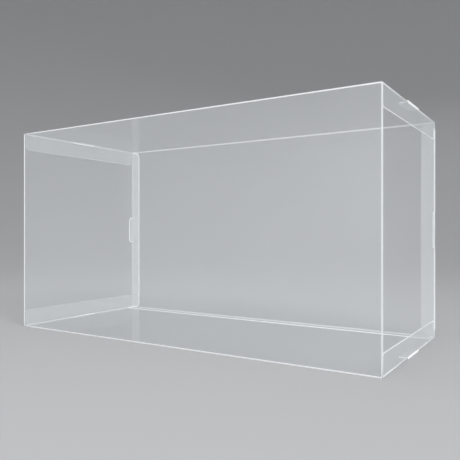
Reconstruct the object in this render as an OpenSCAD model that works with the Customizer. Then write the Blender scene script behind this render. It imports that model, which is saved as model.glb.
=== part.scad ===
// Clear folding case that protects a boxed toy on display.
// One creased sheet of clear film makes a sleeve of four panels with a glued
// seam. Each end closes with an end flap that swings on the front upright fold.
// X runs along the case, Y from front to back and Z upwards. The origin is the
// middle of the underside. The right-hand end is drawn, and the left-hand end
// is its mirror image.

/* [Case] */
// Outside length of the closed case, left to right
case_l = 450; // [300:5:600]
// Outside depth of the closed case, front to back
case_d = 197.5; // [140:0.5:260]
// Outside height of the closed case
case_h = 240; // [160:1:320]

/* [Film] */
// Thickness of the clear film
film_t = 0.5; // [0.3:0.05:0.8]
// Inside radius of a creased fold
fold_r = 0.4; // [0.2:0.05:0.8]
// Space between two layers of film that lie on each other
film_gap = 0.1; // [0.05:0.05:0.2]

/* [Glued seam] */
// Width of the glue flap that lies on the bottom panel
glue_w = 14; // [8:0.5:20]
// Distance of the glue flap's root from the ends of the case
glue_end = 2.5; // [2.5:0.5:10]
// Further distance of its free corners from the ends
glue_taper = 2; // [0:0.5:8]
// Distance of the bottom panel's cut edge from the back of the case
seam_inset = 0.5; // [0.2:0.1:0.8]

/* [Dust flaps] */
// Depth of a dust flap below the top panel, or above the bottom panel
dust_depth = 20; // [14:0.5:35]
// Distance of a dust flap from the front of the case
dust_front = 2.4; // [1.5:0.1:6]
// Radius of a dust flap's free corners
dust_r = 4; // [2:0.5:6]
// Height of the shoulder that catches in the end flap's slit
shoulder_h = 8; // [5:0.5:10]
// Distance that the shoulder stands out behind the dust flap
shoulder_step = 3; // [2:0.5:5]
// Radius of the shoulder's corner
shoulder_r = 1.5; // [0.5:0.5:2]

/* [End flaps] */
// Width of the tongue that tucks in behind the back panel
tongue_w = 15; // [10:0.5:20]
// Distance of the tongue's ends from the top and bottom of the case
tongue_end = 1.5; // [1.5:0.5:4]
// Radius of the tongue's free corners
tongue_r = 8; // [4:0.5:9]

/* [Lock tabs] */
// Width of the end flap's lock tabs at the top and the bottom
edge_tab_w = 40; // [20:1:60]
// Depth of the end flap's lock tabs
edge_tab_depth = 10; // [7:0.5:14]
// Radius of the corners of those tabs
edge_tab_r = 5; // [2:0.5:6]
// Height of the lock tab on each end of the back panel
back_tab_h = 37; // [20:1:60]
// Depth of the lock tab on the back panel
back_tab_depth = 8; // [6:0.5:12]
// Radius of the corners of that tab
back_tab_r = 4.5; // [2:0.5:5]
// Length by which a slit is longer than its tab at each end
slit_clear = 0.5; // [0.3:0.1:1]

/* [Hidden] */
$fn = 48;
// Overshoot of a cutting shape
cut = 1;
film_colour = [0.83, 0.92, 0.96, 0.35];

// Outside radius of a crease
fold_out = fold_r + film_t;
// Faces of the closed case
end_x = case_l / 2;
back_y = case_d / 2;
front_y = -case_d / 2;

// The sleeve ends one layer inside the end flap
sleeve_x = end_x - film_t - film_gap;
// Dust flap, front to back
dust_y0 = front_y + dust_front;
dust_y1 = back_y - fold_out - film_gap;
shoulder_w = 3 * shoulder_step;
// Slit in a dust flap's crease, for the end flap's lock tab
edge_slit_w = edge_tab_w + 2 * slit_clear;
// How far a slit reaches past two layers of film and the inside of a crease
slit_depth = 2 * (film_t + film_gap) + fold_r;

// The back panel's lower crease lies on the bottom panel
seam_z = film_t + fold_out;

// End flap: crease axis, free edges and the slit beside the tongue's crease
hinge_x = end_x - film_t / 2;
hinge_y = front_y + film_t / 2;
flap_z0 = film_t + film_gap;
flap_z1 = case_h - flap_z0;
flap_h = flap_z1 - flap_z0;
tongue_y = back_y - film_t - film_gap;
tongue_h = case_h - 2 * tongue_end;
slit_x = end_x - slit_depth;
shoulder_slit_h = shoulder_h + slit_clear;
back_slit_h = back_tab_h + 2 * slit_clear;

// The tongue leans in just enough for its free edge to swing clear of the back
// panel: that edge is further from the hinge than the tongue's root is
swing_r = tongue_y - hinge_y;
tongue_flat = tongue_w - fold_out;
tongue_lean = pow(tongue_w - film_t / 2, 2) / (2 * swing_r) + film_gap;

// Crease that turns from +X towards +Y about Z
module crease(angle, length) {
    rotate_extrude(angle = angle)
        translate([fold_r, 0])
            square([film_t, length]);
}

// Outline of a tab that hangs down from the X axis, centred, with round corners
module tab_outline(width, depth, corner_r) {
    intersection() {
        translate([-width / 2, -depth])
            square([width, depth]);
        union() {
            translate([-width / 2, corner_r - depth])
                square([width, depth]);
            translate([corner_r - width / 2, -depth])
                square([width - 2 * corner_r, depth]);
            for (side = [-1, 1])
                translate([side * (width / 2 - corner_r), corner_r - depth])
                    circle(corner_r);
        }
    }
}

// Quarter of the section's crease, towards the corner that the signs give
module section_crease(y, z, side_y, side_z) {
    translate([y, z])
        intersection() {
            difference() {
                circle(fold_out);
                circle(fold_r);
            }
            translate([side_y > 0 ? 0 : -fold_out, side_z > 0 ? 0 : -fold_out])
                square(fold_out);
        }
}

// Section of the four panels. The back panel ends above the glued seam
module sleeve_section() {
    fold_z1 = case_h - fold_out;
    flat_d = case_d - 2 * fold_out;
    // Front panel
    translate([front_y, fold_out])
        square([film_t, case_h - 2 * fold_out]);
    // Top panel
    translate([front_y + fold_out, case_h - film_t])
        square([flat_d, film_t]);
    // Back panel
    translate([back_y - film_t, seam_z])
        square([film_t, fold_z1 - seam_z]);
    // Bottom panel
    translate([front_y + fold_out, 0])
        square([case_d - fold_out - seam_inset, film_t]);
    section_crease(front_y + fold_out, fold_out, -1, -1);
    section_crease(front_y + fold_out, fold_z1, -1, 1);
    section_crease(back_y - fold_out, fold_z1, 1, 1);
}

// Glued seam: the back panel's lower crease turns the glue flap forwards onto
// the bottom panel. The flap's ends are tapered
module glue_flap() {
    root_x = end_x - glue_end;
    free_x = root_x - glue_taper;
    root_y = back_y - fold_out;
    free_y = back_y - glue_w;
    translate([-root_x, 0, 0])
        rotate([90, 0, 90])
            linear_extrude(2 * root_x)
                section_crease(root_y, seam_z, 1, -1);
    translate([0, 0, film_t])
        linear_extrude(film_t)
            polygon([
                [-root_x, root_y],
                [-free_x, free_y],
                [free_x, free_y],
                [root_x, root_y]
            ]);
}

// Space that the top panel leaves for the crease of the top right dust flap
module dust_crease_space() {
    translate([sleeve_x - fold_out, dust_y0 - film_gap, case_h - film_t - cut])
        cube([fold_out + cut, dust_y1 - dust_y0 + 2 * film_gap, film_t + 2 * cut]);
}

// Top right dust flap: its crease, its flat and its shoulder, with the slit
module dust_flap() {
    flat_z = case_h - fold_out;
    flat_y1 = dust_y1 - shoulder_step;
    flat_depth = dust_depth - fold_out;
    difference() {
        union() {
            translate([sleeve_x - fold_out, dust_y1, flat_z])
                rotate([90, 0, 0])
                    crease(90, dust_y1 - dust_y0);
            translate([sleeve_x - film_t, 0, flat_z])
                rotate([90, 0, 90])
                    linear_extrude(film_t) {
                        translate([(dust_y0 + flat_y1) / 2, 0])
                            tab_outline(flat_y1 - dust_y0, flat_depth, dust_r);
                        translate([dust_y1 - shoulder_w / 2, 0])
                            tab_outline(shoulder_w, shoulder_h - fold_out, shoulder_r);
                    }
        }
        translate([sleeve_x - fold_out - cut, -edge_slit_w / 2, case_h - slit_depth])
            cube([fold_out + 2 * cut, edge_slit_w, slit_depth + cut]);
    }
}

// Lock tab on the right-hand end of the back panel
module back_tab() {
    z0 = (case_h - back_tab_h) / 2;
    translate([sleeve_x - fold_out, back_y - fold_out, z0])
        crease(90, back_tab_h);
    translate([sleeve_x - film_t, back_y - fold_out, case_h / 2])
        rotate([0, 90, 0])
            linear_extrude(film_t)
                tab_outline(back_tab_h, back_tab_depth - fold_out, back_tab_r);
}

// Space that the back panel leaves for the crease of its right-hand lock tab
module back_crease_space() {
    z0 = (case_h - back_tab_h) / 2 - film_gap;
    translate([sleeve_x - fold_out, back_y - film_t - cut, z0])
        cube([fold_out + cut, film_t + 2 * cut, back_tab_h + 2 * film_gap]);
}

// Both ends, from what is drawn for the right-hand one
module both_ends() {
    children();
    mirror([1, 0, 0])
        children();
}

// Top and bottom, from what is drawn for the top
module top_and_bottom() {
    children();
    translate([0, 0, case_h])
        mirror([0, 0, 1])
            children();
}

// Four panels, glued seam, dust flaps and the back panel's lock tabs
module sleeve() {
    color(film_colour) {
        difference() {
            translate([-sleeve_x, 0, 0])
                rotate([90, 0, 90])
                    linear_extrude(2 * sleeve_x)
                        sleeve_section();
            both_ends() {
                top_and_bottom()
                    dust_crease_space();
                back_crease_space();
            }
        }
        glue_flap();
        both_ends() {
            top_and_bottom()
                dust_flap();
            back_tab();
        }
    }
}

// Slits beside the tongue's crease: one at each end and one in the middle
module tongue_slits() {
    for (span = [
        [-cut, shoulder_slit_h],
        [(case_h - back_slit_h) / 2, (case_h + back_slit_h) / 2],
        [case_h - shoulder_slit_h, case_h + cut]
    ])
        translate([slit_x, tongue_y - fold_out, span[0]])
            cube([slit_depth + cut, fold_out + cut, span[1] - span[0]]);
}

// Tongue and its crease, behind the back panel
module tongue() {
    root_x = end_x - fold_out;
    free_x = end_x - tongue_w;
    free_y = tongue_y - tongue_lean;
    difference() {
        union() {
            translate([root_x, tongue_y - fold_out, tongue_end])
                crease(90, tongue_h);
            intersection() {
                translate([0, 0, tongue_end])
                    linear_extrude(tongue_h)
                        polygon([
                            [root_x, tongue_y],
                            [free_x, free_y],
                            [free_x, free_y - film_t],
                            [root_x, tongue_y - film_t]
                        ]);
                translate([root_x, tongue_y + cut, case_h / 2])
                    rotate([90, 90, 0])
                        linear_extrude(tongue_lean + film_t + 2 * cut)
                            tab_outline(tongue_h, tongue_flat, tongue_r);
            }
        }
        tongue_slits();
    }
}

// Lock tab at the top of the end flap
module edge_tab() {
    translate([end_x - fold_out, edge_tab_w / 2, flap_z1 - fold_out])
        rotate([90, 0, 0])
            crease(90, edge_tab_w);
    translate([end_x - fold_out, 0, flap_z1 - film_t])
        rotate([0, 0, -90])
            linear_extrude(film_t)
                tab_outline(edge_tab_w, edge_tab_depth - fold_out, edge_tab_r);
}

// End panel between the hinge crease and the tongue's crease
module end_panel() {
    panel_y1 = tongue_y - fold_out;
    notch_w = edge_tab_w + 2 * film_gap;
    difference() {
        translate([end_x - film_t, hinge_y, flap_z0])
            cube([film_t, panel_y1 - hinge_y, flap_h]);
        top_and_bottom()
            translate([end_x - film_t - cut, -notch_w / 2, flap_z1 - fold_out])
                cube([film_t + 2 * cut, notch_w, fold_out + cut]);
    }
    translate([hinge_x, hinge_y, flap_z0])
        cylinder(h = flap_h, d = film_t);
}

module end_flap() {
    end_panel();
    tongue();
    top_and_bottom()
        edge_tab();
}

module end_flap_right() {
    color(film_colour)
        end_flap();
}

module end_flap_left() {
    color(film_colour)
        mirror([1, 0, 0])
            end_flap();
}

sleeve();
end_flap_right();
end_flap_left();
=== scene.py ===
"""Looks of a clear folding case for a boxed toy.

The case is one creased sheet of film with an end flap that swings at each end. Its
solids carry the film's finish. The bright lines that give such a case its look are
pieces of their own: a bead along each crease, and a rim along each die-cut edge.
Their brightness is partly painted light: they carry a painted glow, and those at the
end that faces the key light are painted brighter than those that face away.
All sizes are in metres, in the frame of the solids: X along the case, Y from front
to back, Z up, with the origin under the middle.
"""

import logging
import math
from dataclasses import dataclass
from enum import Enum

import bmesh
import bpy
import numpy as np
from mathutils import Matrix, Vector


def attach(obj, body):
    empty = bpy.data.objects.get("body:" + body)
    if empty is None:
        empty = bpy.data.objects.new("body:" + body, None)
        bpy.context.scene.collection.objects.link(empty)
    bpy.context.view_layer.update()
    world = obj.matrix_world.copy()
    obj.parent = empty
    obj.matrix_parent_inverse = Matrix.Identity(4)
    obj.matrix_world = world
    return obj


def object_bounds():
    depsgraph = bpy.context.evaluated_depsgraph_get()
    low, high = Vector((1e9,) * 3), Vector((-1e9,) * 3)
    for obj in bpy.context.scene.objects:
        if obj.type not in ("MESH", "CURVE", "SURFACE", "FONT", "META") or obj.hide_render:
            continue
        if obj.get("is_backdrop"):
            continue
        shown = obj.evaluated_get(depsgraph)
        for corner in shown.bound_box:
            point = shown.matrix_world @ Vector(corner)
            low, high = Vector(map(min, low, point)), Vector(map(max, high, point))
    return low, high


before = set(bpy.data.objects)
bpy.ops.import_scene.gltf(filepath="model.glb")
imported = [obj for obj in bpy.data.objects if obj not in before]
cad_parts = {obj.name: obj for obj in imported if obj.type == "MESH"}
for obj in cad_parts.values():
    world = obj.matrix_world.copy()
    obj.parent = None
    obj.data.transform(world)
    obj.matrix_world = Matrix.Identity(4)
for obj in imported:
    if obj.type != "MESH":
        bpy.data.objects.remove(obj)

LOG = logging.getLogger("display_case")
MM = 0.001
FILM_LOOK = "film"

# Chords along a rounded corner.
CORNER_STEPS = 10
# A point, a direction or a colour.
Triple = tuple[float, float, float]


class Side(Enum):
    """A side of the case, with the sign of its outward course."""

    @property
    def word(self) -> str:
        """Word for piece names."""
        return self.name.lower()


class End(Side):
    """The two ends, along X."""

    RIGHT = 1
    LEFT = -1

    @property
    def lit(self) -> bool:
        """True at the end that faces the key light, whose lines get the painted lit finishes."""
        return self is End.RIGHT


class Level(Side):
    """Top and bottom, along Z."""

    TOP = 1
    BOTTOM = -1


@dataclass(frozen=True)
class Case:
    """Sizes that every part of the case shares, in metres, as in the solids."""

    length: float
    depth: float
    height: float
    film: float = 0.5 * MM
    fold_inner: float = 0.4 * MM
    gap: float = 0.1 * MM
    shoulder_h: float = 8 * MM
    edge_tab_w: float = 40 * MM
    back_tab_h: float = 37 * MM
    slit_clear: float = 0.5 * MM

    @property
    def fold(self) -> float:
        """Outside radius of a crease."""
        return self.fold_inner + self.film

    @property
    def end_x(self) -> float:
        """Outer face of a closed end flap."""
        return self.length / 2

    @property
    def sleeve_x(self) -> float:
        """Outer face of the dust flaps."""
        return self.end_x - self.film - self.gap

    @property
    def front_y(self) -> float:
        """Outer face of the front panel."""
        return -self.depth / 2

    @property
    def back_y(self) -> float:
        """Outer face of the back panel."""
        return self.depth / 2

    @property
    def tongue_y(self) -> float:
        """Outer face of a tongue at its crease."""
        return self.back_y - self.film - self.gap

    @property
    def middle_z(self) -> float:
        """Half the height."""
        return self.height / 2

    @property
    def slit_reach(self) -> float:
        """How far a slit reaches past the crease that it cuts, on the flat."""
        return 2 * (self.film + self.gap) + self.fold_inner - self.fold

    @classmethod
    def measured(cls) -> "Case":
        """The case, with its outer sizes taken from the solids."""
        low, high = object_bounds()
        return cls(*(b - a for a, b in zip(low, high)))


class Shade:
    """One output of a shader node that takes part in Python expressions."""

    def __init__(self, tree: "ShaderTree", owner: bpy.types.Node, output: int | str = 0) -> None:
        """Wraps an output.

        Args:
            tree: The tree that the node is in.
            owner: The node.
            output: Name or index of the output.
        """
        self.tree = tree
        self.owner = owner
        self.output = output

    @property
    def socket(self) -> bpy.types.NodeSocket:
        """The output's socket."""
        return self.owner.outputs[self.output]

    def out(self, output: str) -> "Shade":
        """Another output of the same node."""
        return Shade(self.tree, self.owner, output)

    def _math(self, operation: str, *values: "Shade | float") -> "Shade":
        """Adds a Math node with these inputs."""
        return self.tree.node("ShaderNodeMath", {"operation": operation}, dict(enumerate(values)))

    def __add__(self, other: "Shade | float") -> "Shade":
        """Sum."""
        return self._math("ADD", self, other)

    def __radd__(self, other: float) -> "Shade":
        """Sum with a number on the left."""
        return self._math("ADD", other, self)

    def __sub__(self, other: "Shade | float") -> "Shade":
        """Difference."""
        return self._math("SUBTRACT", self, other)

    def __rsub__(self, other: float) -> "Shade":
        """A number less this value."""
        return self._math("SUBTRACT", other, self)

    def __mul__(self, other: "Shade | float") -> "Shade":
        """Product."""
        return self._math("MULTIPLY", self, other)

    def __rmul__(self, other: float) -> "Shade":
        """Product with a number on the left."""
        return self._math("MULTIPLY", other, self)

    def __pow__(self, other: float) -> "Shade":
        """Power."""
        return self._math("POWER", self, other)

    def __abs__(self) -> "Shade":
        """Size without sign."""
        return self._math("ABSOLUTE", self)

    def higher(self, other: "Shade | float") -> "Shade":
        """The higher of two values."""
        return self._math("MAXIMUM", self, other)

    def held(self) -> "Shade":
        """The value kept between 0 and 1."""
        return self.tree.node("ShaderNodeClamp", inputs={"Value": self})

    def falls(self, start: float, end: float) -> "Shade":
        """Turns the value into a mask with a smooth step.

        Args:
            start: Value at which the mask is still 1.
            end: Value at which it has reached 0.

        Returns:
            The mask.
        """
        return self.tree.node(
            "ShaderNodeMapRange",
            {"interpolation_type": "SMOOTHSTEP"},
            {"Value": self, "From Min": start, "From Max": end, "To Min": 1.0, "To Max": 0.0},
        )

    def band(self, middle: float, half: float, soft: float) -> "Shade":
        """A mask of 1 up to half on either side of the middle, which fades over soft."""
        return abs(self - middle).falls(half, half + soft)

    def varied(self, spread: float) -> "Shade":
        """Turns noise into a factor of about 1 that varies by the spread."""
        return 1.0 + spread * (self - 0.5)


@dataclass(frozen=True)
class Grain:
    """A noise pattern on Object coordinates.

    scale is its number of waves in a metre, detail its octaves, rough the weight of
    the finer octaves, and stretch the scale of each axis.
    """

    scale: float
    detail: float = 2.0
    rough: float = 0.5
    stretch: Triple = (1.0, 1.0, 1.0)


class ShaderTree:
    """A material's nodes, with one way to add any of them."""

    def __init__(self, name: str) -> None:
        """Makes an empty material.

        Args:
            name: The material's name.
        """
        self.material = bpy.data.materials.new(name)
        self.material.use_nodes = True
        self.nodes = self.material.node_tree.nodes
        self.links = self.material.node_tree.links
        self.nodes.clear()

    def node(self, kind: str, settings: dict | None = None, inputs: dict | None = None) -> Shade:
        """Adds a node.

        Args:
            kind: The node's type.
            settings: Its own settings, such as a Math node's operation.
            inputs: Values or links of its sockets, by name or index.

        Returns:
            Its first output.
        """
        node = self.nodes.new(kind)
        for name, value in (settings or {}).items():
            setattr(node, name, value)
        for key, value in (inputs or {}).items():
            if isinstance(value, Shade):
                self.links.new(value.socket, node.inputs[key])
            else:
                node.inputs[key].default_value = value
        return Shade(self, node)

    def place(self) -> Shade:
        """The Object coordinates."""
        return self.node("ShaderNodeTexCoord").out("Object")

    def noise(self, grain: Grain) -> Shade:
        """Noise on Object coordinates.

        Args:
            grain: The pattern.

        Returns:
            The noise, from 0 to 1.
        """
        mapped = self.node("ShaderNodeMapping",
                           inputs={"Vector": self.place(), "Scale": grain.stretch})
        return self.node(
            "ShaderNodeTexNoise",
            inputs={"Vector": mapped, "Scale": grain.scale, "Detail": grain.detail,
                    "Roughness": grain.rough},
        )

    def bump(self, height: Shade, strength: float, distance: float) -> Shade:
        """Bump for a Normal socket.

        Args:
            height: The height.
            strength: Share of the bump that is used.
            distance: Metres for a height of 1.

        Returns:
            The bumped normal.
        """
        return self.node(
            "ShaderNodeBump",
            inputs={"Strength": strength, "Distance": distance, "Height": height},
        )

    def finish(self, surface: Shade) -> bpy.types.Material:
        """Links the surface to the output and returns the material."""
        self.node("ShaderNodeOutputMaterial", inputs={"Surface": surface})
        return self.material


class Inside:
    """How far a point lies inside the outer faces of the closed case, as shader values.

    end is measured from the nearer end, side from the nearer of front and back, and
    level from the nearer of top and bottom. The others are measured from one face.
    """

    def __init__(self, tree: ShaderTree, case: Case) -> None:
        """Works the distances out from the Object coordinates.

        Args:
            tree: The tree to add to.
            case: The sizes that place the faces.
        """
        self.tree, self.case = tree, case
        axes = tree.node("ShaderNodeSeparateXYZ", inputs={"Vector": tree.place()})
        x, y, z = axes.out("X"), axes.out("Y"), axes.out("Z")
        self.end = case.end_x - abs(x)
        self.right = case.end_x - x
        self.side = case.back_y - abs(y)
        self.front = y - case.front_y
        self.back = case.back_y - y
        self.level = case.middle_z - abs(z - case.middle_z)
        self.bottom = z


@dataclass(frozen=True)
class FilmFinish:
    """Clear film: see-through and glossy, with a trace of haze and a gentle wave.

    haze is the share of light that one face scatters. mirror is the share that it
    reflects head on, and grazing what a grazing view adds, as a power of how far the
    face turns away. Pressed folds are frosted, the glued seam is cloudy, every flap
    that is tucked in is scuffed, and handling has left faint smudges and hairlines.
    piped is a painted glow: emission wherever the film isn't clear, so its
    haze shines brighter than the lamps light it.

    A mark's _haze or _rough is what it adds where it is strongest. Its _range is the
    noise at which it is whole and the noise at which it is gone, its _spread how much
    it varies, its _half half of the thickness that it lies in, and its _soft the width
    over which it fades out. A fold's frost is whole within fold_core and gone beyond
    fold_reach of the outer faces. A plain name with a Grain is a mark's own pattern.
    """

    tint: Triple = (0.93, 0.95, 0.965)
    clear: Triple = (0.99, 0.994, 0.996)
    haze: float = 0.007
    piped: float = 0.22
    mirror: float = 0.050
    grazing: float = 0.32
    grazing_power: float = 5.0
    rough: float = 0.030
    wave: Grain = Grain(6.0)
    wave_height: float = 0.6 * MM
    wave_share: float = 0.6
    smudge: Grain = Grain(8.0, 4.0)
    smudge_range: tuple[float, float] = (0.62, 0.42)
    smudge_haze: float = 0.006
    smudge_rough: float = 0.04
    streak: Grain = Grain(55.0, 3.0, 0.6, (0.05, 1.0, 1.0))
    streak_haze: float = 0.006
    streak_height: float = 0.05
    hairline: Grain = Grain(420.0, 1.0, 0.5, (0.04, 1.0, 1.0))
    hairline_range: tuple[float, float] = (0.20, 0.17)
    hairline_haze: float = 0.050
    frost: Grain = Grain(1300.0)
    frost_spread: float = 0.8
    fold_core: float = 0.8 * MM
    fold_reach: float = 1.6 * MM
    fold_haze: float = 0.50
    fold_rough: float = 0.35
    shoulder_soft: float = 0.5 * MM
    cells: Grain = Grain(300.0, 2.0, 0.5, (0.25, 1.0, 1.0))
    cells_range: tuple[float, float] = (0.66, 0.44)
    seam_least: float = 0.35
    seam_width: float = 13 * MM
    seam_soft: float = 0.6 * MM
    seam_height: float = 2 * MM
    seam_haze: float = 0.070
    seam_rough: float = 0.14
    strokes: Grain = Grain(160.0, 3.0, 0.6, (0.15, 1.0, 1.0))
    strokes_spread: float = 0.2
    tongue_width: float = 15 * MM
    tongue_lean: float = 0.65 * MM
    tongue_half: float = 0.60 * MM
    tongue_soft: float = 0.06 * MM
    tongue_haze: float = 0.15
    tab_depth: float = 10 * MM
    flap_half: float = 0.28 * MM
    flap_soft: float = 0.05 * MM
    flap_haze: float = 0.065
    edge_soft: float = 0.4 * MM

    def material(self, name: str, case: Case) -> bpy.types.Material:
        """Builds the film's material.

        Args:
            name: The material's name.
            case: The sizes that place the folds and the seam.

        Returns:
            The material.
        """
        tree = ShaderTree(name)
        inside = Inside(tree, case)
        frost, seam, scuff = self._frost(inside), self._seam(inside), self._scuff(inside)
        smudge = tree.noise(self.smudge).falls(*self.smudge_range)
        streak = tree.noise(self.streak)
        hairline = tree.noise(self.hairline).falls(*self.hairline_range)
        haze = (self.haze + self.smudge_haze * smudge + self.streak_haze * streak
                + self.hairline_haze * hairline + self.seam_haze * seam + scuff
                + self.fold_haze * frost).held()
        dull = (self.fold_rough * frost).higher(self.seam_rough * seam)
        rough = (self.rough + self.smudge_rough * smudge + dull).held()
        height = tree.noise(self.wave) + self.streak_height * streak
        normal = tree.bump(height, self.wave_share, self.wave_height)
        facing = tree.node("ShaderNodeLayerWeight", inputs={"Normal": normal}).out("Facing")
        mirror = self.mirror + self.grazing * facing ** self.grazing_power
        clear = tree.node("ShaderNodeBsdfTransparent", inputs={"Color": (*self.clear, 1.0)})
        # The haze's emission is a painted glow, lit by no lamp.
        cloudy = tree.node(
            "ShaderNodeBsdfPrincipled",
            inputs={"Base Color": (*self.tint, 1.0), "Roughness": rough, "Normal": normal,
                    "Emission Color": (*self.tint, 1.0), "Emission Strength": self.piped},
        )
        gloss = tree.node(
            "ShaderNodeBsdfGlossy",
            inputs={"Color": (1.0, 1.0, 1.0, 1.0), "Roughness": rough, "Normal": normal},
        )
        film = tree.node("ShaderNodeMixShader", inputs={0: haze, 1: clear, 2: cloudy})
        return tree.finish(tree.node("ShaderNodeMixShader", inputs={0: mirror, 1: film, 2: gloss}))

    def _frost(self, inside: Inside) -> Shade:
        """Frosted bands along the folds, where two distances to the outer faces are small.

        The back upright fold is frosted only at the right end, which faces the key light, so
        its frost there is partly painted light; it runs between the shoulders, as far as the
        tongue goes. That of the left end faces away from the light and is left clear.

        Args:
            inside: The distances.

        Returns:
            About 1 on a fold and 0 away from it, with grain.
        """
        # The last pair holds only at the right end: painted light on the back fold that faces the
        # key light.
        pairs = ((inside.side, inside.level), (inside.level, inside.end),
                 (inside.front, inside.end), (inside.back, inside.right))
        long, level_end, front, back = (a.higher(b).falls(self.fold_core, self.fold_reach)
                                        for a, b in pairs)
        shoulder = inside.case.shoulder_h
        beyond = inside.level.falls(shoulder, shoulder + self.shoulder_soft)
        folds = long.higher(level_end).higher(front.higher(back * (1 - beyond)))
        return folds * inside.tree.noise(self.frost).varied(self.frost_spread)

    def _seam(self, inside: Inside) -> Shade:
        """Cloudy strip of glue between the glue flap and the bottom panel.

        Args:
            inside: The distances.

        Returns:
            1 in the seam and 0 away from it, broken by long cells of air.
        """
        strip = inside.back.falls(self.seam_width, self.seam_width + self.seam_soft)
        low = inside.bottom.falls(self.seam_height, self.seam_height + self.edge_soft)
        cells = inside.tree.noise(self.cells).falls(*self.cells_range)
        return strip * low * (self.seam_least + (1 - self.seam_least) * cells)

    def _scuff(self, inside: Inside) -> Shade:
        """Haze of the flaps that are tucked in.

        Each lies in a layer of its own just inside an outer face: the tongues inside
        the back panel, the dust flaps and the back lock tabs inside the end panels,
        and the edge lock tabs inside the top and the bottom. A tongue leans inwards,
        so its layer is thicker and further in.

        Args:
            inside: The distances.

        Returns:
            The haze, with the short strokes of the scuffs.
        """
        layer = 1.5 * inside.case.film + inside.case.gap
        tongue = (inside.back.band(layer + self.tongue_lean / 2, self.tongue_half, self.tongue_soft)
                  * inside.end.falls(self.tongue_width, self.tongue_width + self.edge_soft))
        flap = inside.end.band(layer, self.flap_half, self.flap_soft)
        tab = (inside.level.band(layer, self.flap_half, self.flap_soft)
               * inside.end.falls(self.tab_depth, self.tab_depth + self.edge_soft))
        scuffs = self.tongue_haze * tongue + self.flap_haze * flap.higher(tab)
        return scuffs * inside.tree.noise(self.strokes).varied(self.strokes_spread)


@dataclass(frozen=True)
class LineFinish:
    """A bright line of film: a pressed crease or a die-cut edge.

    cover is how far it hides what is behind it, flecks how fine its grain is, and
    piped the strength of a painted glow, emission that brightens the line.
    The flecks vary the cover by cover_spread and stand out by a share of their height.
    Slow waves along the line change its cover and its roughness by the two drifts.
    """

    colour: Triple
    cover: float
    rough: float
    flecks: float
    piped: float
    fleck_detail: float = 3.0
    fleck_height: float = 0.05 * MM
    fleck_share: float = 0.5
    cover_spread: float = 0.24
    slow: Grain = Grain(22.0)
    cover_drift: float = 0.08
    rough_drift: float = 0.2

    def material(self, name: str) -> bpy.types.Material:
        """Builds the line's material.

        Args:
            name: The material's name.

        Returns:
            The material.
        """
        tree = ShaderTree(name)
        flecks = tree.noise(Grain(self.flecks, self.fleck_detail))
        slow = tree.noise(self.slow) - 0.5
        cover = (self.cover * flecks.varied(self.cover_spread) + self.cover_drift * slow).held()
        rough = self.rough + self.rough_drift * slow
        normal = tree.bump(flecks, self.fleck_share, self.fleck_height)
        # The emission is a painted glow along the line.
        return tree.finish(tree.node(
            "ShaderNodeBsdfPrincipled",
            inputs={"Base Color": (*self.colour, 1.0), "Roughness": rough, "Alpha": cover,
                    "Normal": normal,
                    "Emission Color": (*self.colour, 1.0), "Emission Strength": self.piped},
        ))


class Line(Enum):
    """The finishes of the case's bright lines.

    The finishes are lit and shaded copies, with painted light: a line at the end that
    faces the key light on the right gets a painted glow and more cover, and one that
    faces away from it is painted dim or hardly shows.
    """

    # Each finish's last value is its painted glow; the lit and shaded copies differ in cover and
    # glow.
    CREASE = LineFinish((0.88, 0.89, 0.90), 0.84, 0.30, 700.0, 0.12)
    SOFT_CREASE = LineFinish((0.87, 0.88, 0.89), 0.46, 0.30, 700.0, 0.03)
    HINGE = LineFinish((0.86, 0.875, 0.885), 0.74, 0.24, 500.0, 0.05)
    CUT_EDGE = LineFinish((0.90, 0.91, 0.915), 0.92, 0.20, 1100.0, 0.32)
    LIT_FOLD = LineFinish((0.88, 0.89, 0.895), 0.94, 0.34, 900.0, 0.30)
    LOCK_FOLD = LineFinish((0.88, 0.89, 0.895), 0.96, 0.34, 900.0, 0.42)
    DIM_EDGE = LineFinish((0.87, 0.885, 0.89), 0.42, 0.26, 1100.0, 0.02)
    SHADED = LineFinish((0.86, 0.875, 0.885), 0.20, 0.30, 1100.0, 0.0)


@dataclass(frozen=True)
class Bead:
    """Section of the bead that a pressed crease leaves outside the film.

    It is a crescent between the angles first and last, in degrees from the root
    panel's normal. It stands out by swell times the sine of its course, and never
    further than proud outside the faces of the two panels. skin is how far its outer
    side lies outside the crease at either end of its course, root how deep its inner
    side lies in the film, and shell the most that it measures through. steps is the
    number of points on a side, and rings that of the sections along the crease.
    """

    swell: float
    proud: float
    first: float
    last: float
    skin: float = 0.02 * MM
    root: float = 0.12 * MM
    steps: int = 14
    shell: float = 9 * MM
    rings: int = 25


@dataclass(frozen=True)
class Rim:
    """Section of the rim that shows along a die-cut edge, an ellipse.

    inset is how far its middle lies inside the cut, rise half of its height as a
    share of the thickness that it covers, and mitre the least cosine at a corner.
    """

    width: float = 1.1 * MM
    inset: float = 0.3 * MM
    rise: float = 0.62
    mitre: float = 0.5
    sides: int = 10


# Pressed creases, the lock tabs' folds that spring out, and the cut edges.
PRESSED = Bead(0.32 * MM, 0.02 * MM, -24.0, 114.0)
PRESSED_WIDE = Bead(0.32 * MM, 0.02 * MM, -48.0, 138.0, steps=22)
SPRUNG = Bead(1.35 * MM, 1.35 * MM, 12.0, 120.0, steps=20, shell=0.6 * MM)
SPRUNG_FLAT = Bead(1.1 * MM, 0.57 * MM, 12.0, 120.0, steps=20, shell=0.6 * MM)
SPRUNG_SIDE = Bead(0.7 * MM, 0.3 * MM, -20.0, 110.0)
CUT = Rim()


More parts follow.
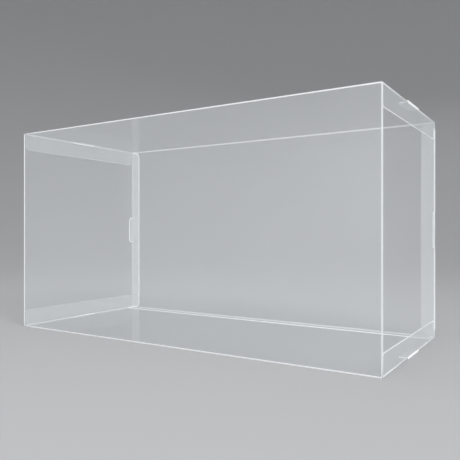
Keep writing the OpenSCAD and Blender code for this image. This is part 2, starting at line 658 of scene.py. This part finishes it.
@dataclass(frozen=True)
class Fold:
    """A flap on its crease, as a map from the flat sheet to space.

    A point of the flat sheet is (s, t): s runs along the crease and t across it,
    from 0 where the crease starts. The crease takes the sheet's middle layer round
    an arc of the radius, from the root panel's normal to the flap's. Past the arc
    the sheet runs on straight.
    """

    centre: Triple
    along: Triple
    root_normal: Triple
    flap_normal: Triple
    radius: float
    turn: float = math.pi / 2

    @property
    def bend(self) -> float:
        """Length of the crease across the sheet."""
        return self.radius * self.turn

    def frame_at(self, angle: np.ndarray) -> tuple[np.ndarray, np.ndarray]:
        """Normal and course of the sheet at an angle of the crease.

        The normal is cos(a) times the root's normal plus sin(a) times the flap's,
        and the course is its derivative.

        Args:
            angle: Angles in radians, any shape.

        Returns:
            Normals and courses, with one more axis of three numbers.
        """
        root, flap = np.array(self.root_normal), np.array(self.flap_normal)
        cos, sin = np.cos(angle)[..., None], np.sin(angle)[..., None]
        return cos * root + sin * flap, cos * flap - sin * root

    def place(self, s: np.ndarray, t: np.ndarray, lift: np.ndarray) -> np.ndarray:
        """Puts points of the flat sheet in space.

        Args:
            s: Places along the crease.
            t: Places across it.
            lift: Heights above the sheet's middle layer.

        Returns:
            The points, with a last axis of three numbers.
        """
        bent = np.clip(t, 0.0, self.bend)
        normal, course = self.frame_at(bent / self.radius)
        return (np.array(self.centre) + s[..., None] * np.array(self.along)
                + (self.radius + lift)[..., None] * normal + (t - bent)[..., None] * course)

    def rim(self, edge: np.ndarray, thick: float, closed: bool = False) -> np.ndarray:
        """Rings of a rim round a cut edge of the sheet.

        Each ring is an ellipse about a point of the edge. Its short axis is the
        sheet's normal and its long axis the edge's side in the sheet, lengthened at
        a corner as a mitre is and shifted inwards from the cut.

        Args:
            edge: Points (s, t) of the cut edge.
            thick: Thickness that the rim covers.
            closed: True for a slit, whose last point joins its first.

        Returns:
            Rings of points, shaped (points of the edge, points in a ring, 3).
        """
        step = np.roll(edge, -1, axis=0) - edge
        before = np.roll(step, 1, axis=0)
        if not closed:
            step[-1], before[0] = step[-2], step[0]
        step /= np.linalg.norm(step, axis=1, keepdims=True)
        before /= np.linalg.norm(before, axis=1, keepdims=True)
        course = step + before
        course /= np.linalg.norm(course, axis=1, keepdims=True)
        mitre = 1.0 / np.clip((course * step).sum(axis=1), CUT.mitre, 1.0)
        side = np.stack([-course[:, 1], course[:, 0]], axis=-1) * mitre[:, None]
        angle = np.linspace(0.0, 2 * math.pi, CUT.sides, endpoint=False)
        across = CUT.width / 2 * np.cos(angle) + CUT.inset
        flat = edge[:, None, :] + across[None, :, None] * side[:, None, :]
        lift = np.broadcast_to(CUT.rise * thick * np.sin(angle), flat.shape[:2])
        return self.place(flat[..., 0], flat[..., 1], lift)

    def bead(self, first: float, last: float, outer: float, shape: Bead) -> np.ndarray:
        """Rings of a crease's bead.

        The outer side's radius is the crease's outer radius and the skin, plus swell
        times the sine of its course. It is cut off by the planes that lie proud
        outside the two panels.

        Args:
            first: Where it starts along the crease.
            last: Where it ends.
            outer: Outer radius of the crease.
            shape: Its section.

        Returns:
            Rings of points.
        """
        angle = np.radians(np.linspace(shape.first, shape.last, shape.steps))
        course = np.linspace(0.0, math.pi, shape.steps)
        reach = outer + shape.skin + shape.swell * np.sin(course)
        limit = (outer + shape.proud) / np.maximum(np.abs(np.cos(angle)), np.abs(np.sin(angle)))
        normal, _ = self.frame_at(angle)
        far = np.minimum(reach, limit)
        near = np.maximum(outer - shape.root, far - shape.shell)
        section = np.concatenate([far[:, None] * normal, (near[:, None] * normal)[::-1]])
        s = np.linspace(first, last, shape.rings)[:, None, None] * np.array(self.along)
        return np.array(self.centre) + s + section[None, :, :]


def flat_sheet(point: tuple, along: tuple, across: tuple) -> Fold:
    """A sheet with no crease, for the cut edges of a panel.

    It is a fold with no turn, whose radius only says how deep its centre lies.

    Args:
        point: A point of its middle layer.
        along: Direction of s.
        across: Direction of t.

    Returns:
        The map.
    """
    normal, radius = np.cross(along, across), MM
    centre = np.array(point) - radius * normal
    return Fold(tuple(centre), along, tuple(normal), across, radius, turn=0.0)


def arc(centre: tuple[float, float], radius: float, first: float, last: float,
        steps: int = CORNER_STEPS) -> np.ndarray:
    """Points on an arc.

    Args:
        centre: Its centre.
        radius: Its radius.
        first: First angle, in degrees.
        last: Last angle, in degrees.
        steps: Number of chords.

    Returns:
        An array of points, two numbers each.
    """
    angle = np.radians(np.linspace(first, last, steps + 1))
    return np.array(centre) + radius * np.stack([np.cos(angle), np.sin(angle)], axis=-1)


def tab_edge(width: float, reach: float, radius: float, root: float = 0.0) -> np.ndarray:
    """Cut edge of a tab: out along one side, round the corners and back along the other.

    Args:
        width: Its width, centred on 0.
        reach: How far t goes at its free edge.
        radius: Radius of its corners.
        root: Where t starts.

    Returns:
        Points (s, t).
    """
    half = width / 2
    return np.concatenate([
        [[half, root]],
        arc((half - radius, reach - radius), radius, 0.0, 90.0),
        arc((radius - half, reach - radius), radius, 90.0, 180.0),
        [[-half, root]],
    ])


def slit_edge(width: float, reach: float) -> np.ndarray:
    """Points (s, t) round a slit, from t = 0 to its reach, with the film outside it."""
    half = width / 2
    return np.array([[-half, 0.0], [-half, reach], [half, reach], [half, 0.0]])


def tube(name: str, parts: list[np.ndarray], closed: bool = False) -> bpy.types.Object:
    """A solid whose skin runs over rings of points, one solid for each set of rings.

    Args:
        name: The object's name.
        parts: Sets of rings, each shaped (rings, points in a ring, 3).
        closed: True where the last ring joins the first. Otherwise a fan closes each end.

    Returns:
        The object, at the origin.
    """
    points, faces, base = [], [], 0
    for rings in parts:
        rows, columns, _ = rings.shape
        row, column = np.meshgrid(np.arange(rows if closed else rows - 1), np.arange(columns),
                                  indexing="ij")
        below, after = (row + 1) % rows, (column + 1) % columns
        quads = np.stack([row * columns + column, row * columns + after,
                          below * columns + after, below * columns + column], axis=-1)
        faces += (quads.reshape(-1, 4) + base).tolist()
        points.append(rings.reshape(-1, 3))
        if not closed:
            points.append(np.stack([rings[0].mean(axis=0), rings[-1].mean(axis=0)]))
            index = np.arange(columns)
            after, last, hub = (index + 1) % columns, (rows - 1) * columns, rows * columns
            faces += (np.stack([np.full(columns, hub), after, index], axis=-1) + base).tolist()
            faces += (np.stack([np.full(columns, hub + 1), last + index, last + after], axis=-1)
                      + base).tolist()
        base = sum(len(part) for part in points)
    return mesh_object(name, np.concatenate(points), faces)


def mesh_object(name: str, points: np.ndarray, faces: list,
                weld: float = 0.0) -> bpy.types.Object:
    """A smooth object from points and faces.

    Args:
        name: The object's name.
        points: The points.
        faces: Lists of indices.
        weld: How close two points have to be to become one. At 0 none do, and the
            faces are turned outwards.

    Returns:
        The object, at the origin.
    """
    mesh = bpy.data.meshes.new(name)
    mesh.from_pydata(points.tolist(), [], faces)
    shell = bmesh.new()
    shell.from_mesh(mesh)
    if weld:
        bmesh.ops.remove_doubles(shell, verts=shell.verts, dist=weld)
    else:
        bmesh.ops.recalc_face_normals(shell, faces=shell.faces)
    shell.to_mesh(mesh)
    shell.free()
    mesh.shade_smooth()
    piece = bpy.data.objects.new(name, mesh)
    bpy.context.collection.objects.link(piece)
    return piece


@dataclass
class FilmPart:
    """A part of the case that moves as one: its solid and its bright lines.

    node is the name of its solid and of its body.
    """

    case: Case
    looks: dict[str | Line, bpy.types.Material]
    node: str

    def dress_solid(self) -> None:
        """Gives the solid the film's finish."""
        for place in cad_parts[self.node].material_slots:
            place.material = self.looks[FILM_LOOK]
        LOG.info("solid %s dressed", self.node)

    def add(self, name: str, parts: list[np.ndarray], line: Line, closed: bool = False) -> None:
        """Makes a line, dresses it and lets it ride with the part.

        The film's gentle wave blurs such a thin line away in its reflections, so the
        line is left out of them.

        Args:
            name: The piece's name.
            parts: Its sets of rings.
            line: Its finish.
            closed: True where the last ring of a set joins the first.
        """
        piece = tube(name, parts, closed)
        piece.data.materials.append(self.looks[line])
        piece.visible_glossy = False
        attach(piece, self.node)
        LOG.info("piece %s on %s, %d faces", piece.name, self.node, len(piece.data.polygons))

    def fold(self, centre: tuple, along: tuple, root_normal: tuple, flap_normal: tuple,
             turn: float = math.pi / 2) -> Fold:
        """A fold with the case's own crease radius.

        Args:
            centre: Centre of its bend at s = 0.
            along: Direction of the crease.
            root_normal: Outward normal of the root panel.
            flap_normal: Outward normal of the flap.
            turn: Angle of the fold.

        Returns:
            The fold.
        """
        middle = self.case.fold - self.case.film / 2
        return Fold(centre, along, root_normal, flap_normal, middle, turn)


@dataclass
class Sleeve(FilmPart):
    """Four panels, glued seam, dust flaps and the back panel's lock tabs."""

    glue_w: float = 14 * MM
    glue_end: float = 2.5 * MM
    glue_taper: float = 2 * MM
    seam_inset: float = 0.5 * MM
    seam_rim: float = 0.9 * MM
    dust_depth: float = 20 * MM
    dust_front: float = 2.4 * MM
    dust_r: float = 4 * MM
    shoulder_step: float = 3 * MM
    shoulder_r: float = 1.5 * MM
    back_tab_depth: float = 8 * MM
    back_tab_r: float = 4.5 * MM
    hinge_r: float = 0.4 * MM
    hinge_sides: int = 12
    hinge_rings: int = 25

    def build(self) -> None:
        """Makes every line of the sleeve."""
        self.dress_solid()
        self.long_creases()
        self.seam()
        for end in End:
            self.hinge_crease(end)
            self.back_end(end)
            for level in Level:
                self.dust_flap(end, level)

    def long_creases(self) -> None:
        """Beads along the creases of the three plain long edges."""
        case = self.case
        for name, side, level, shape in (("front_top", -1, Level.TOP, PRESSED),
                                         ("front_bottom", -1, Level.BOTTOM, PRESSED),
                                         ("back_top", 1, Level.TOP, PRESSED_WIDE)):
            y = side * (case.back_y - case.fold)
            z = case.middle_z + level.value * (case.middle_z - case.fold)
            fold = self.fold((0, y, z), (1, 0, 0), (0, side, 0), (0, 0, level.value))
            rings = fold.bead(-case.sleeve_x, case.sleeve_x, case.fold, shape)
            self.add(f"crease_{name}", [rings], Line.CREASE)

    def seam(self) -> None:
        """Crease of the glue flap, its cut edge, and the bottom panel's cut edge behind it."""
        case = self.case
        root = case.end_x - self.glue_end
        free = root - self.glue_taper
        fold = self.fold((0, case.back_y - case.fold, case.film + case.fold), (1, 0, 0), (0, 1, 0),
                         (0, 0, -1))
        # The crease takes the shaded copy of the crease finish, painted dim; the bottom panel's cut
        # edge below is painted shaded.
        self.add("crease_seam", [fold.bead(-root, root, case.fold, PRESSED)], Line.SOFT_CREASE)
        reach = fold.bend + self.glue_w - case.fold
        edge = np.array([[root, 0.0], [root, fold.bend], [free, reach], [-free, reach],
                         [-root, fold.bend], [-root, 0.0]])
        self.add("rim_glue_flap", [fold.rim(edge, self.seam_rim)], Line.CUT_EDGE)
        sheet = flat_sheet((0, case.back_y - self.seam_inset, case.film / 2), (1, 0, 0), (0, 1, 0))
        edge = np.array([[case.sleeve_x, 0.0], [-case.sleeve_x, 0.0]])
        self.add("rim_bottom_panel", [sheet.rim(edge, case.film)], Line.SHADED)

    def hinge_crease(self, end: End) -> None:
        """Round bead along the front upright crease, which the end flap swings on.

        Args:
            end: The end of the case.
        """
        case = self.case
        angle = np.linspace(0.0, 2 * math.pi, self.hinge_sides, endpoint=False)
        ring = np.stack([np.cos(angle), np.sin(angle), np.zeros_like(angle)], axis=-1)
        inset = case.film + case.gap
        z = np.linspace(inset, case.height - inset, self.hinge_rings)
        x, y = end.value * (case.end_x - case.film / 2), case.front_y + case.film / 2
        axis = np.stack([np.full_like(z, x), np.full_like(z, y), z], axis=-1)
        rings = axis[:, None, :] + self.hinge_r * ring[None, :, :]
        self.add(f"crease_hinge_{end.word}", [rings], Line.HINGE)

    def back_end(self, end: End) -> None:
        """End of the back panel: its lock tab, and its cut edges above and below the tab.

        Args:
            end: The end of the case.
        """
        case, side = self.case, end.value
        half = case.back_tab_h / 2
        centre = (side * (case.sleeve_x - case.fold), case.back_y - case.fold, case.middle_z)
        fold = self.fold(centre, (0, 0, 1), (0, 1, 0), (side, 0, 0))
        # Lit and shaded copies: the tab's fold and the panel's cut edges are painted bright at the
        # end that faces the key light and painted shaded at the other; the tab's outline is bright
        # at both.
        self.add(f"crease_back_tab_{end.word}", [fold.bead(-half, half, case.fold, SPRUNG_SIDE)],
                 Line.LIT_FOLD if end.lit else Line.SHADED)
        reach = fold.bend + self.back_tab_depth - case.fold
        edge = tab_edge(case.back_tab_h, reach, self.back_tab_r)
        self.add(f"rim_back_tab_{end.word}", [fold.rim(edge, case.film)], Line.CUT_EDGE)
        sheet = flat_sheet((side * case.sleeve_x, case.back_y - case.film / 2, case.middle_z),
                           (0, 0, 1), (side, 0, 0))
        near, far = half + case.gap, case.middle_z - case.shoulder_h
        edges = [np.array([[far, 0.0], [near, 0.0]]), np.array([[-near, 0.0], [-far, 0.0]])]
        self.add(f"rim_back_panel_{end.word}", [sheet.rim(e, case.film) for e in edges],
                 Line.CUT_EDGE if end.lit else Line.SHADED)

    def dust_flap(self, end: End, level: Level) -> None:
        """Crease, outline and slit of one dust flap.

        Args:
            end: The end of the case.
            level: Top or bottom.
        """
        case = self.case
        low, high = case.front_y + self.dust_front, case.back_y - case.fold - case.gap
        slit = case.edge_tab_w / 2 + case.slit_clear
        centre = (end.value * (case.sleeve_x - case.fold), 0.0,
                  case.middle_z + level.value * (case.middle_z - case.fold))
        fold = self.fold(centre, (0, 1, 0), (0, 0, level.value), (end.value, 0, 0))
        word = f"{level.word}_{end.word}"
        beads = [fold.bead(low, -slit, case.fold, PRESSED_WIDE),
                 fold.bead(slit, high, case.fold, PRESSED_WIDE)]
        # Lit and shaded copies: the crease and outline are painted bright at the end that faces the
        # key light and painted dim at the other; the slit is painted shaded at both ends.
        self.add(f"crease_dust_{word}", beads, Line.CREASE if end.lit else Line.SOFT_CREASE)
        outline = self.dust_edge(low, high, fold.bend)
        self.add(f"rim_dust_{word}", [fold.rim(outline, case.film)],
                 Line.CUT_EDGE if end.lit else Line.DIM_EDGE)
        hole = slit_edge(2 * slit, fold.bend + case.slit_reach)
        self.add(f"rim_slit_{word}", [fold.rim(hole, case.film, closed=True)], Line.SHADED,
                 closed=True)

    def dust_edge(self, low: float, high: float, bend: float) -> np.ndarray:
        """Cut edge of a dust flap: back side with its shoulder, free edge and front side.

        Args:
            low: Front end of its crease.
            high: Back end of its crease.
            bend: Length of the crease across the sheet.

        Returns:
            Points (s, t).
        """
        case = self.case
        reach = bend + self.dust_depth - case.fold
        shoulder = bend + case.shoulder_h - case.fold
        back = high - self.shoulder_step
        return np.concatenate([
            [[high, 0.0]],
            arc((high - self.shoulder_r, shoulder - self.shoulder_r), self.shoulder_r, 0.0, 90.0,
                CORNER_STEPS // 2),
            [[back, shoulder]],
            arc((back - self.dust_r, reach - self.dust_r), self.dust_r, 0.0, 90.0),
            arc((low + self.dust_r, reach - self.dust_r), self.dust_r, 90.0, 180.0),
            [[low, 0.0]],
        ])


@dataclass
class EndFlap(FilmPart):
    """End panel, tongue, and the two lock tabs that tuck in at the top and the bottom."""

    end: End
    tongue_w: float = 15 * MM
    tongue_end: float = 1.5 * MM
    tongue_r: float = 8 * MM
    edge_tab_depth: float = 10 * MM
    edge_tab_r: float = 5 * MM
    side_rim: float = 0.9 * MM

    @property
    def lean(self) -> float:
        """How far a tongue's free edge lies further in than its crease."""
        case = self.case
        swing = case.tongue_y - case.front_y - case.film / 2
        return (self.tongue_w - case.film / 2) ** 2 / (2 * swing) + case.gap

    def build(self) -> None:
        """Makes every line of the flap."""
        self.dress_solid()
        self.tongue()
        for level in Level:
            self.edge_tab(level)
            self.panel_edges(level)

    def tongue(self) -> None:
        """Beads between the tongue's slits, its outline and its middle slit.

        The left one's outline stops at the notches beside its crease, which would run
        into one bright spot with the lines round them.
        """
        case, side, word = self.case, self.end.value, self.end.word
        flat = self.tongue_w - case.fold
        centre = (side * (case.end_x - case.fold), case.tongue_y - case.fold, case.middle_z)
        fold = self.fold(centre, (0, 0, 1), (side, 0, 0), (0, 1, 0),
                         math.pi / 2 + math.atan2(self.lean, flat))
        near = case.back_tab_h / 2 + case.slit_clear
        far = case.middle_z - case.shoulder_h - case.slit_clear
        beads = [fold.bead(-far, -near, case.fold, PRESSED_WIDE),
                 fold.bead(near, far, case.fold, PRESSED_WIDE)]
        # Lit and shaded copies: at the end that faces the key light the crease and middle slit are
        # painted bright and the outline painted shaded, at the other end the other way round.
        self.add(f"crease_tongue_{word}", beads, Line.LIT_FOLD if self.end.lit else Line.SHADED)
        notch = fold.bend + case.slit_reach
        tab = tab_edge(case.height - 2 * self.tongue_end, fold.bend + flat, self.tongue_r, notch)
        whole = np.concatenate([[[far, 0.0], [far, notch]], tab, [[-far, notch], [-far, 0.0]]])
        self.add(f"rim_tongue_{word}", [fold.rim(whole if self.end.lit else tab, case.film)],
                 Line.SHADED if self.end.lit else Line.CUT_EDGE)
        hole = slit_edge(2 * near, notch)
        self.add(f"rim_tongue_slit_{word}", [fold.rim(hole, case.film, closed=True)],
                 Line.CUT_EDGE if self.end.lit else Line.SHADED, closed=True)

    def edge_tab(self, level: Level) -> None:
        """Crease and outline of one lock tab.

        The fold of the top one springs up over the edge of the case. The floor
        presses the bottom one flat. The outline is painted dim. At the right end, which
        faces the key light, a thicker rim with a painted glow, a painted highlight, lies on
        the front side of the tab, from the middle of its corner to its crease.

        Args:
            level: Top or bottom.
        """
        case, side, up = self.case, self.end.value, level.value
        inset = case.film + case.gap + case.fold
        centre = (side * (case.end_x - case.fold), 0.0,
                  case.middle_z + up * (case.middle_z - inset))
        fold = self.fold(centre, (0, 1, 0), (side, 0, 0), (0, 0, up))
        half = case.edge_tab_w / 2
        shape = SPRUNG if level is Level.TOP else SPRUNG_FLAT
        word = f"{level.word}_{self.end.word}"
        self.add(f"crease_edge_tab_{word}", [fold.bead(-half, half, case.fold, shape)],
                 Line.LOCK_FOLD)
        reach = fold.bend + self.edge_tab_depth - case.fold
        edge = tab_edge(case.edge_tab_w, reach, self.edge_tab_r)
        self.add(f"rim_edge_tab_{word}", [fold.rim(edge, case.film)], Line.DIM_EDGE)
        # Painted highlight: a bright rim on the tab's front side at the lit end only.
        if self.end.lit:
            front = edge[-(CORNER_STEPS // 2 + 2):]
            self.add(f"rim_tab_side_{word}", [fold.rim(front, self.side_rim)], Line.LOCK_FOLD)

    def panel_edges(self, level: Level) -> None:
        """Cut edges of the end panel, either side of its lock tab.

        Args:
            level: Top or bottom.
        """
        case, side, up = self.case, self.end.value, level.value
        z = case.middle_z + up * (case.middle_z - case.film - case.gap)
        sheet = flat_sheet((side * (case.end_x - case.film / 2), 0.0, z), (0, 1, 0), (0, 0, up))
        near = case.edge_tab_w / 2 + case.gap
        edges = [np.array([[-near, 0.0], [case.front_y + case.film, 0.0]]),
                 np.array([[case.tongue_y - case.fold, 0.0], [near, 0.0]])]
        # Lit and shaded copies: the cut edges are painted bright at the end that faces the key
        # light and painted dim at the other.
        self.add(f"rim_end_{level.word}_{self.end.word}", [sheet.rim(e, case.film) for e in edges],
                 Line.CREASE if self.end.lit else Line.DIM_EDGE)


@dataclass(frozen=True)
class Lamp:
    """A square soft lamp: where it stands, what it faces, its side and its power."""

    name: str
    place: Triple
    aim: Triple
    size: float
    power: float

    def build(self) -> None:
        """Adds the lamp."""
        data = bpy.data.lights.new(self.name, "AREA")
        data.shape = "SQUARE"
        data.size = self.size
        data.energy = self.power
        lamp = bpy.data.objects.new(self.name, data)
        lamp.location = self.place
        lamp.visible_camera = False
        lamp.visible_glossy = False
        course = Vector(self.aim) - Vector(self.place)
        lamp.rotation_euler = course.to_track_quat("-Z", "Y").to_euler()
        bpy.context.collection.objects.link(lamp)


@dataclass(frozen=True)
class FloorFinish:
    """Plain, pale and nearly matt floor, where shine is its specular level."""

    colour: Triple = (0.46, 0.463, 0.467)
    rough: float = 0.8
    shine: float = 0.2

    def material(self, name: str) -> bpy.types.Material:
        """Builds the floor's material.

        Args:
            name: The material's name.

        Returns:
            The material.
        """
        tree = ShaderTree(name)
        return tree.finish(tree.node(
            "ShaderNodeBsdfPrincipled",
            inputs={"Base Color": (*self.colour, 1.0), "Roughness": self.rough,
                    "Specular IOR Level": self.shine},
        ))


@dataclass(frozen=True)
class Studio:
    """Pale floor, soft lights and the photograph's viewpoint.

    The camera was fitted to the eight corners of the case: it is level, at the
    case's mid height, and looks 32.3 degrees round from the front. place is in
    heights of the case. The last lamp lights the wall of the backdrop in front of
    the case, so that the panels mirror a soft glow towards the right. A ray passes
    through up to clear_faces faces of film, because a case has many of them in line.
    """

    focal_px: float = 542.58
    frame_px: float = 460.0
    sensor: float = 36.0
    azimuth: float = 32.289
    place: Triple = (1.47702, -2.22572, 0.5)
    clip_start: float = 0.01
    clear_faces: int = 64
    floor_finish: FloorFinish = FloorFinish()
    world_colour: Triple = (0.97, 0.985, 1.0)
    world_strength: float = 0.60
    floor_radius: float = 1.2
    bend_radius: float = 3.4
    wall_top: float = 5.0
    floor_drop: float = 0.1 * MM
    floor_rings: int = 9
    bend_rings: int = 17
    sides: int = 96
    weld: float = 0.01 * MM
    lamps: tuple[Lamp, ...] = (
        Lamp("key", (1.7, -0.95, 2.0), (0.0, -0.75, 0.2), 1.3, 40.0),
        Lamp("front", (0.6, -1.7, 1.3), (0.0, 0.0, 0.12), 1.2, 10.0),
        Lamp("fill", (-1.9, -0.7, 2.4), (0.0, 0.0, 0.12), 1.8, 14.0),
        Lamp("rear", (-0.3, 2.3, 2.5), (0.0, 0.0, 0.12), 2.4, 10.5),
        Lamp("wall_glow", (-0.38, -2.17, 1.78), (-0.52, -2.93, 0.5), 0.8, 22.0),
    )

    def build(self, case: Case) -> None:
        """Makes the floor, the lights, the world and the camera.

        Args:
            case: The case, whose height is the unit of the camera's place.
        """
        self.camera(case)
        self.floor()
        world = bpy.data.worlds.new("studio")
        world.use_nodes = True
        background = world.node_tree.nodes["Background"].inputs
        background["Color"].default_value = (*self.world_colour, 1.0)
        background["Strength"].default_value = self.world_strength
        bpy.context.scene.world = world
        for lamp in self.lamps:
            lamp.build()
        scene = bpy.context.scene
        scene.view_settings.view_transform = "Standard"
        scene.cycles.transparent_max_bounces = self.clear_faces

    def camera(self, case: Case) -> None:
        """Puts the camera where the photograph was taken from.

        Args:
            case: The case, whose height is the unit of the place.
        """
        data = bpy.data.cameras.new("camera")
        data.sensor_width = self.sensor
        data.lens = self.sensor * self.focal_px / self.frame_px
        data.clip_start = self.clip_start
        camera = bpy.data.objects.new("camera", data)
        camera.location = Vector(self.place) * case.height
        camera.rotation_euler = (math.pi / 2, 0.0, math.radians(self.azimuth))
        bpy.context.collection.objects.link(camera)
        bpy.context.scene.camera = camera

    def floor(self) -> None:
        """Floor that curves up into a wall all round, a profile turned about Z.

        The profile is a level line, a quarter circle and an upright line. It lies a
        hair under the case, so that no two faces share a plane.
        """
        turn = np.radians(np.linspace(-90.0, 0.0, self.bend_rings))
        radius = np.concatenate([np.linspace(0.0, self.floor_radius, self.floor_rings),
                                 self.floor_radius + self.bend_radius * np.cos(turn[1:]),
                                 [self.floor_radius + self.bend_radius]])
        height = np.concatenate([np.zeros(self.floor_rings),
                                 self.bend_radius * (1 + np.sin(turn[1:])), [self.wall_top]])
        angle = np.linspace(0.0, 2 * math.pi, self.sides, endpoint=False)
        points = np.stack([radius[:, None] * np.cos(angle), radius[:, None] * np.sin(angle),
                           np.broadcast_to(height[:, None], (len(height), self.sides))], axis=-1)
        row, column = np.meshgrid(np.arange(len(height) - 1), np.arange(self.sides),
                                  indexing="ij")
        after = (column + 1) % self.sides
        faces = np.stack([row * self.sides + column, (row + 1) * self.sides + column,
                          (row + 1) * self.sides + after, row * self.sides + after], axis=-1)
        points[..., 2] -= self.floor_drop
        floor = mesh_object("floor", points.reshape(-1, 3), faces.reshape(-1, 4).tolist(),
                            self.weld)
        floor.data.materials.append(self.floor_finish.material("floor"))
        floor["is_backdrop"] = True


def main() -> None:
    """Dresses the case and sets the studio."""
    logging.basicConfig(level=logging.INFO, format="%(name)s: %(message)s")
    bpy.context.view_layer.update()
    case = Case.measured()
    looks = {FILM_LOOK: FilmFinish().material("clear_film", case)}
    looks.update({line: line.value.material(f"film_{line.name.lower()}") for line in Line})
    Studio().build(case)
    flaps = [EndFlap(case, looks, f"end_flap_{end.word}", end) for end in End]
    for part in [Sleeve(case, looks, "sleeve"), *flaps]:
        part.build()


if __name__ == "__main__":
    main()
